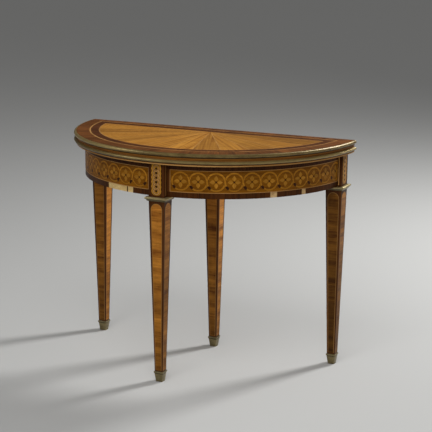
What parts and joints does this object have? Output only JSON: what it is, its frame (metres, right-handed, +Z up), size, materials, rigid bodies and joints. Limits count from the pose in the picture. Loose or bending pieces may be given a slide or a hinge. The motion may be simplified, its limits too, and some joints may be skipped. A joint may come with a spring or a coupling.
{
  "type": "demilune table",
  "caption": "Half-round fold-over table with a hinged inlaid leaf, curved marquetry frieze, tapered legs with brass collars and shoes, and a rear leg that slides out on a drawer.",
  "frame": {"origin": "centre of the closed table's box, on the floor", "axes": "+Z up, curved front towards -Y, straight back edge and hinges towards +Y, +X along the back edge"},
  "size_m": [0.984, 0.4989, 0.76],
  "materials": {
    "fan_satinwood": "french polish",
    "dark_banding": "french polish",
    "light_stringing": "french polish",
    "frieze_marquetry": "french polish",
    "leg_veneer": "french polish",
    "leaf_wood": "french polish",
    "rail_wood": "waxed",
    "carcass_wood": "bare oak",
    "brass": "lacquered, aged",
    "baize": "felted wool",
    "steel_screws": "plain"
  },
  "bodies": {
    "frame": {"left_leg": "leg_veneer", "left_collar": "brass", "left_sabot": "brass", "front_leg": "leg_veneer", "front_collar": "brass", "front_sabot": "brass", "right_leg": "leg_veneer", "right_collar": "brass", "right_sabot": "brass", "left_apron": "carcass_wood", "right_apron": "carcass_wood", "left_frieze": "frieze_marquetry", "right_frieze": "frieze_marquetry", "left_upper_banding": "dark_banding", "right_upper_banding": "dark_banding", "left_lower_banding": "dark_banding", "right_lower_banding": "dark_banding", "left_back_rail": "rail_wood", "right_back_rail": "rail_wood", "left_guide": "carcass_wood", "right_guide": "carcass_wood", "left_runner": "carcass_wood", "right_runner": "carcass_wood", "left_kicker": "carcass_wood", "right_kicker": "carcass_wood", "closing_stops": "carcass_wood", "pull_out_stop": "carcass_wood", "glue_blocks": "carcass_wood", "leaf_screws": "steel_screws", "lower_leaf": "leaf_wood", "lower_bead": "brass", "lower_cloth": "baize", "left_hinge_lower_plate": "brass", "centre_hinge_lower_plate": "brass", "right_hinge_lower_plate": "brass", "hinge_pins": "brass", "lower_hinge_screws": "steel_screws"},
    "flap": {"upper_leaf": "leaf_wood", "upper_bead": "brass", "upper_cloth": "baize", "outer_banding": "dark_banding", "outer_stringing": "light_stringing", "inner_banding": "dark_banding", "inner_stringing": "light_stringing", "fan_field": "fan_satinwood", "left_hinge_upper_plate": "brass", "centre_hinge_upper_plate": "brass", "right_hinge_upper_plate": "brass", "upper_hinge_screws": "steel_screws"},
    "pull_out_leg": {"rear_leg": "leg_veneer", "rear_collar": "brass", "rear_sabot": "brass", "drawer_inner_end": "carcass_wood", "drawer_bottom": "carcass_wood", "left_drawer_rail": "rail_wood", "right_drawer_rail": "rail_wood", "left_drawer_side": "carcass_wood", "right_drawer_side": "carcass_wood"}
  },
  "joints": [
    {"name": "flap_hinge", "type": "hinge", "parent": "frame", "child": "flap", "pos_m": [0, 0.24445, 0.73985], "axis": [-1, 0, 0], "range_deg": [0, 180]},
    {"name": "leg_slide", "type": "slide", "parent": "frame", "child": "pull_out_leg", "axis": [0, 1, 0], "range_m": [0, 0.27]}
  ]
}
